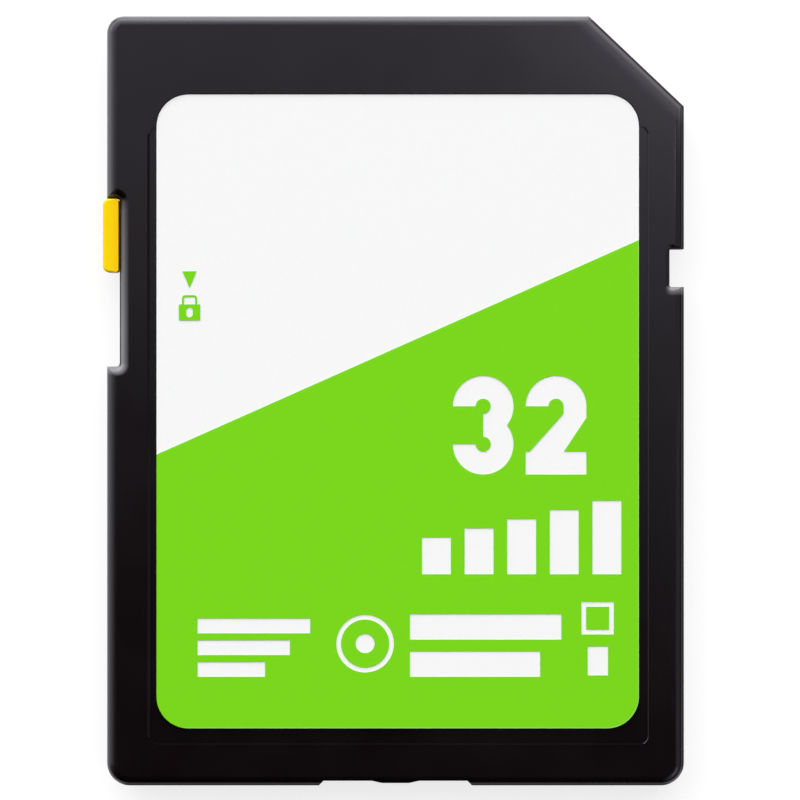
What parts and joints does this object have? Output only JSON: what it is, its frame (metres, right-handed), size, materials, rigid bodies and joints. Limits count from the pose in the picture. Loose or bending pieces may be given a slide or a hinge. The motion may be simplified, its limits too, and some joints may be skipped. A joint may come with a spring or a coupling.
{
  "type": "memory card",
  "caption": "Flat memory card with a cut corner, printed label, gold contacts in a comb on the back and a sliding write-protect tab.",
  "frame": {"origin": "centre of the flat back face, halfway between the side rails and between the contact end and the foot", "axes": "+Z from the back face to the label face, +Y from the foot to the contact end, +X to the side with the cut corner, as seen with the label up"},
  "size_m": [0.0241, 0.032, 0.0021],
  "materials": {
    "cover_plastic": "fine satin grain, near black",
    "label_film": "smooth white film",
    "label_ink": "flat bright green ink",
    "tab_plastic": "smooth yellow moulding",
    "solder_mask": "dark green lacquer",
    "contact_gold": "thin gold plating",
    "chip_moulding": "dull black moulding compound",
    "capacitor_ceramic": "tan ceramic",
    "resistor_body": "black glaze"
  },
  "bodies": {
    "card": {"front_cover": "cover_plastic", "back_cover": "cover_plastic", "label_film": "label_film", "label_print": "label_ink", "circuit_board": "solder_mask", "flash_chip": "chip_moulding", "controller_chip": "chip_moulding", "contact_1": "contact_gold", "contact_2": "contact_gold", "contact_3": "contact_gold", "contact_4": "contact_gold", "contact_5": "contact_gold", "contact_6": "contact_gold", "contact_7": "contact_gold", "contact_8": "contact_gold", "contact_9": "contact_gold", "capacitor_1": "capacitor_ceramic", "capacitor_2": "capacitor_ceramic", "capacitor_3": "capacitor_ceramic", "capacitor_4": "capacitor_ceramic", "capacitor_5": "capacitor_ceramic", "capacitor_6": "capacitor_ceramic", "resistor_1": "resistor_body", "resistor_2": "resistor_body", "resistor_3": "resistor_body", "resistor_4": "resistor_body"},
    "lock_tab": {"write_protect_tab": "tab_plastic"}
  },
  "joints": [
    {"name": "lock_slide", "type": "slide", "parent": "card", "child": "lock_tab", "axis": [0, -1, 0], "range_m": [0, 0.00387]}
  ]
}
